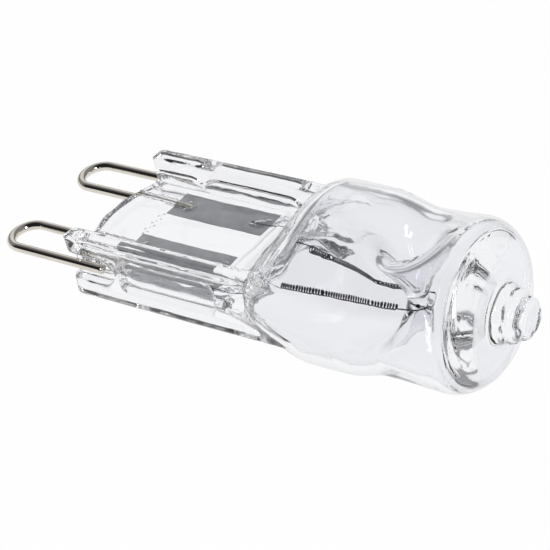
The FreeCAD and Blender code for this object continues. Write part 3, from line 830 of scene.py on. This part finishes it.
# %% Node graph
class Graph:
    """The nodes of a material or of the room."""

    def __init__(self, owner):
        owner.use_nodes = True
        self.tree = owner.node_tree

    def node(self, kind, settings, sockets, output=0):
        """Add a node: its settings first, then a value or a link for each of its sockets."""
        made = self.tree.nodes.new(kind)
        for key, value in settings.items():
            setattr(made, key, value)
        for key, value in sockets.items():
            self.feed(made.inputs[key], value)
        return Shade(self, made.outputs[output])

    def feed(self, socket, value):
        """Link a shade to a socket, or set the socket's value."""
        if isinstance(value, Shade):
            self.tree.links.new(value.socket, socket)
        else:
            socket.default_value = value

    def blend(self, share, first, second):
        """A colour between two."""
        return self.node("ShaderNodeMix", {"data_type": "RGBA"}, {0: share, 6: first, 7: second}, 2)

    def soft_step(self, value, low, high):
        """A soft step from 0 to 1 between two values."""
        return self.node("ShaderNodeMapRange", {"interpolation_type": "SMOOTHSTEP"},
                         {"Value": value, "From Min": low, "From Max": high})


# %% [markdown]
# A `Finish` is a graph round one Principled shader. It knows how to make soft noise in the part's own frame,
# and how to put itself on pieces. Painted pictures would need each piece unwrapped; noise in space does not.

# %% Finish class
class Finish(Graph):
    """A material built round one Principled shader."""

    def __init__(self, name, **constants):
        self.material = bpy.data.materials.new(name)
        super().__init__(self.material)
        self.shader = self.tree.nodes["Principled BSDF"]
        for socket, value in constants.items():
            self.shader.inputs[socket.replace("_", " ")].default_value = value

    def place(self):
        """The point of the surface in the part's frame."""
        return self.node("ShaderNodeTexCoord", {}, {}, "Object")

    def noise(self, scale, detail, stretch=(1, 1, 1)):
        """Soft noise with about scale waves to the metre, stretched along the axes."""
        spot = self.node("ShaderNodeMapping", {}, {"Vector": self.place(), "Scale": stretch})
        return self.node("ShaderNodeTexNoise", {}, {"Vector": spot, "Scale": scale, "Detail": detail})

    def bump(self, height, depth, strength=1.0):
        """A bump of a height field, depth metres deep."""
        return self.node("ShaderNodeBump", {}, {"Height": height, "Distance": depth, "Strength": strength})

    def wear(self, *pieces, **sockets):
        """Feed the shader's sockets and put the material on pieces."""
        for socket, value in sockets.items():
            self.feed(self.shader.inputs[socket.replace("_", " ")], value)
        for piece in pieces:
            piece.data.materials.clear()
            piece.data.materials.append(self.material)
        print(f"{self.material.name}: {len(self.tree.nodes)} nodes on {len(pieces)} pieces")


# %% [markdown]
# ## Fused quartz
#
# Quartz is clear and bends light less than window glass. In the photograph it darkens where it is seen
# edge-on. A volume that takes up light could do that, but it renders slowly. Here a Layer Weight darkens the
# colour at grazing angles, which is painted shade: it draws the thin dark outline. A very shallow bump stands
# for the drawn tube's faint waves, which are too fine for the mesh.

# %% Quartz
QUARTZ_IOR = 1.458
# The edge colour is painted shade: a dark colour put where the quartz is seen edge-on, to draw its dark
# outline.
CLEAR, PAINTED_EDGE_SHADE, EDGE_POWER = (0.935, 0.94, 0.96, 1), (0.08, 0.08, 0.085, 1), 5.0
BROAD_SCALE, NARROW_SCALE, NARROW_SHARE = 420, 1500, 0.4
WAVE_DEPTH, WAVE_STRENGTH = 0.00002, 0.5
quartz = Finish("fused_quartz", Transmission_Weight=1.0, IOR=QUARTZ_IOR, Roughness=0.0)
grazing = quartz.node("ShaderNodeLayerWeight", {}, {"Blend": 0.5}, "Facing")
waves = quartz.noise(BROAD_SCALE, 1.5) + NARROW_SHARE * quartz.noise(NARROW_SCALE, 1.0)
quartz.wear(envelope, Base_Color=quartz.blend(grazing ** EDGE_POWER, CLEAR, PAINTED_EDGE_SHADE),
            Normal=quartz.bump(waves, WAVE_DEPTH, WAVE_STRENGTH))

# %% [markdown]
# ## Plated wire
#
# The loops are drawn wire with a bright, warm plating. One even metal would do from far away. Close up, drawing
# leaves fine lines along the wire, so a noise is stretched along the part's length, and a cloudier noise
# varies the plating's colour. It stays smooth enough to mirror the dark and the bright side of the room as
# clean stripes.

# %% Plating
PLATING_DARK, PLATING_LIGHT = (0.58, 0.54, 0.47, 1), (0.76, 0.73, 0.67, 1)
LINE_SCALE, LINE_STRETCH, LINE_DEPTH = 900, (0.25, 8, 8), 0.0000015
CLOUD_SCALE = 700
PLATING_ROUGH, LINE_ROUGH = 0.05, 0.08
plating = Finish("plated_wire", Metallic=1.0)
lines = plating.noise(LINE_SCALE, 3.0, LINE_STRETCH)
cloud = plating.noise(CLOUD_SCALE, 2.0)
plating.wear(*loops, Base_Color=plating.blend(cloud, PLATING_DARK, PLATING_LIGHT),
             Roughness=PLATING_ROUGH + LINE_ROUGH * lines, Normal=plating.bump(lines, LINE_DEPTH))

# %% [markdown]
# ## Rolled foil
#
# Molybdenum foil is rolled thin, grey and matt. The shader's anisotropy could stretch its shine along the
# rolling direction. A fine grain in that direction does so too, and it can be seen close up. Mottled tones
# stand for the heat of the pinching.

# %% Foil finish
FOIL_DARK, FOIL_LIGHT = (0.46, 0.475, 0.49, 1), (0.8, 0.815, 0.83, 1)
GRAIN_SCALE, GRAIN_STRETCH, GRAIN_DEPTH = 2200, (0.4, 3, 3), 0.000005
MOTTLE_SCALE = 900
FOIL_ROUGH, GRAIN_ROUGH = 0.38, 0.2
rolled = Finish("rolled_foil", Metallic=1.0)
grain = rolled.noise(GRAIN_SCALE, 3.0, GRAIN_STRETCH)
mottle = rolled.noise(MOTTLE_SCALE, 3.0)
rolled.wear(*foils, Base_Color=rolled.blend(mottle, FOIL_DARK, FOIL_LIGHT),
            Roughness=FOIL_ROUGH + GRAIN_ROUGH * grain, Normal=rolled.bump(grain, GRAIN_DEPTH))

# %% [markdown]
# ## Tungsten
#
# The bare filament is a darker metal. A plain black would hide the coil's turns; a dark metal still catches
# light on each. Its wire is so thin that one noise is enough for its draw grain: it changes the tone and the
# roughness together.

# %% Tungsten
TUNGSTEN_DARK, TUNGSTEN_LIGHT = (0.045, 0.046, 0.05, 1), (0.13, 0.13, 0.135, 1)
DRAWN_SCALE, TUNGSTEN_ROUGH, DRAWN_ROUGH = 6000, 0.35, 0.2
tungsten = Finish("tungsten_wire", Metallic=0.8)
drawn = tungsten.noise(DRAWN_SCALE, 2.0)
tungsten.wear(filament, Base_Color=tungsten.blend(drawn, TUNGSTEN_DARK, TUNGSTEN_LIGHT),
              Roughness=TUNGSTEN_ROUGH + DRAWN_ROUGH * drawn)

# %% [markdown]
# ## Floor
#
# Clear glass is lit by what stands round it. The classic set is a *bright field*: a shining pale ground under
# the glass. The body stays light, and edges that bend the view far away draw themselves as dark lines. A white
# floor under strong lamps would carry the lamp's shadow; on a ground that shines by itself, it hardly shows.
# The ground turns to grey some way off, so that the edges have something darker to show.

# %% Floor
FLOOR_HALF, FLOOR_GLOW = 0.5, 0.985
FIELD_REACH = (0.05, 0.11)
FIELD_WHITE, FIELD_GREY = (1, 1, 1, 1), (0.5, 0.5, 0.51, 1)
floor_corners = [(x * FLOOR_HALF, y * FLOOR_HALF, 0) for x, y in ((-1, -1), (1, -1), (1, 1), (-1, 1))]
floor_mesh = bpy.data.meshes.new("pale_floor")
floor_mesh.from_pydata(floor_corners, [], [(0, 1, 2, 3)])
floor = bpy.data.objects.new("pale_floor", floor_mesh)
bpy.context.scene.collection.objects.link(floor)
ground = Finish("pale_ground", Base_Color=(0.02, 0.02, 0.02, 1), Roughness=0.9, Specular_IOR_Level=0.0,
                Emission_Strength=FLOOR_GLOW)
away = ground.node("ShaderNodeVectorMath", {"operation": "LENGTH"}, {0: ground.place()}, "Value")
ground.wear(floor, Emission_Color=ground.blend(ground.soft_step(away, *FIELD_REACH), FIELD_WHITE, FIELD_GREY))

# %% [markdown]
# ## Room
#
# The room above is grey. Its front is dark, which gives the wires their black stripe, and a part of its far
# side is white, which the foils mirror. Both are soft patches found by how well a direction faces them. Area
# lights could stand there instead, but patches of the room leave no hard-edged glints.

# %% Room
ROOM_GREY, ROOM_DARK, ROOM_WHITE = (0.30, 0.30, 0.31, 1), (0.02, 0.02, 0.02, 1), (0.92, 0.92, 0.93, 1)
DARK_SIDE, DARK_REACH = (-0.12, -0.79, 0.6), (0.35, 0.75)
WHITE_SIDE, WHITE_REACH = (-0.5, 0.757, 0.42), (0.88, 0.96)
room = bpy.data.worlds.new("studio_room")
walls = Graph(room)
heading = walls.node("ShaderNodeTexCoord", {}, {}, "Generated")
wall_colour = ROOM_GREY
for side, reach, colour in ((DARK_SIDE, DARK_REACH, ROOM_DARK), (WHITE_SIDE, WHITE_REACH, ROOM_WHITE)):
    facing = walls.node("ShaderNodeVectorMath", {"operation": "DOT_PRODUCT"}, {0: heading, 1: side}, "Value")
    wall_colour = walls.blend(walls.soft_step(facing, *reach), wall_colour, colour)
walls.feed(walls.tree.nodes["Background"].inputs["Color"], wall_colour)
bpy.context.scene.world = room
print(f"studio room: {len(walls.tree.nodes)} nodes")

# %% [markdown]
# ## Softbox
#
# A narrow strip of light at the side draws long highlights on a tube. A shining plane would do the same, but
# an area light gives less noise. Light crosses many walls in this lamp, so it is also allowed many bounces:
# with few of them, the inner walls would turn black.

# %% Softbox
BOX_PLACE, BOX_AIM = Vector((0.28, -0.16, 0.2)), Vector((0, 0, 0.007))
BOX_WIDTH, BOX_HEIGHT, BOX_POWER = 0.06, 0.22, 0.5
BOUNCES, GLOSSY_BOUNCES = 32, 16
light = bpy.data.lights.new("side_softbox", "AREA")
light.shape = "RECTANGLE"
light.size, light.size_y, light.energy = BOX_WIDTH, BOX_HEIGHT, BOX_POWER
softbox = bpy.data.objects.new("side_softbox", light)
softbox.location = BOX_PLACE
softbox.rotation_euler = (BOX_AIM - BOX_PLACE).to_track_quat("-Z", "Y").to_euler()
bpy.context.scene.collection.objects.link(softbox)
bpy.context.scene.view_settings.view_transform = "Standard"
bpy.context.scene.cycles.max_bounces = BOUNCES
bpy.context.scene.cycles.transmission_bounces = BOUNCES
bpy.context.scene.cycles.glossy_bounces = GLOSSY_BOUNCES
print(f"softbox: {BOX_POWER} W over {BOX_WIDTH} by {BOX_HEIGHT} m, up to {BOUNCES} bounces")

# %% [markdown]
# ## Camera
#
# The photograph looks down on the lamp from its tip's side. The camera's place was found by matching the
# loops, the pinch's edges and the tip to a square picture of 550 pixels. A Track To constraint would aim it
# at the lamp; writing its matrix keeps the small sideways step that the match asked for.

# %% Camera
AZIMUTH, ELEVATION = math.radians(33.4), math.radians(41.68)
LENS, RANGE, NEAREST = 126.77, 0.143, 0.005
AIM_ALONG = 18.0
STEP_RIGHT, STEP_UP = 0.002251, 0.00078
back = Vector((math.sin(AZIMUTH) * math.cos(ELEVATION), -math.cos(AZIMUTH) * math.cos(ELEVATION),
               math.sin(ELEVATION)))
right = Vector((math.cos(AZIMUTH), math.sin(AZIMUTH), 0))
up = back.cross(right)
aim = Vector(to_world([(AIM_ALONG, 0, 0)])[0])
eye = aim + back * RANGE - right * STEP_RIGHT - up * STEP_UP
camera_data = bpy.data.cameras.new("photo_camera")
camera_data.lens = LENS
camera_data.clip_start = NEAREST
camera = bpy.data.objects.new("photo_camera", camera_data)
camera.matrix_world = Matrix.Translation(eye) @ Matrix((right, up, back)).transposed().to_4x4()
bpy.context.scene.collection.objects.link(camera)
bpy.context.scene.camera = camera
print(f"camera {RANGE / MM:.0f} mm away with a {LENS} mm lens")
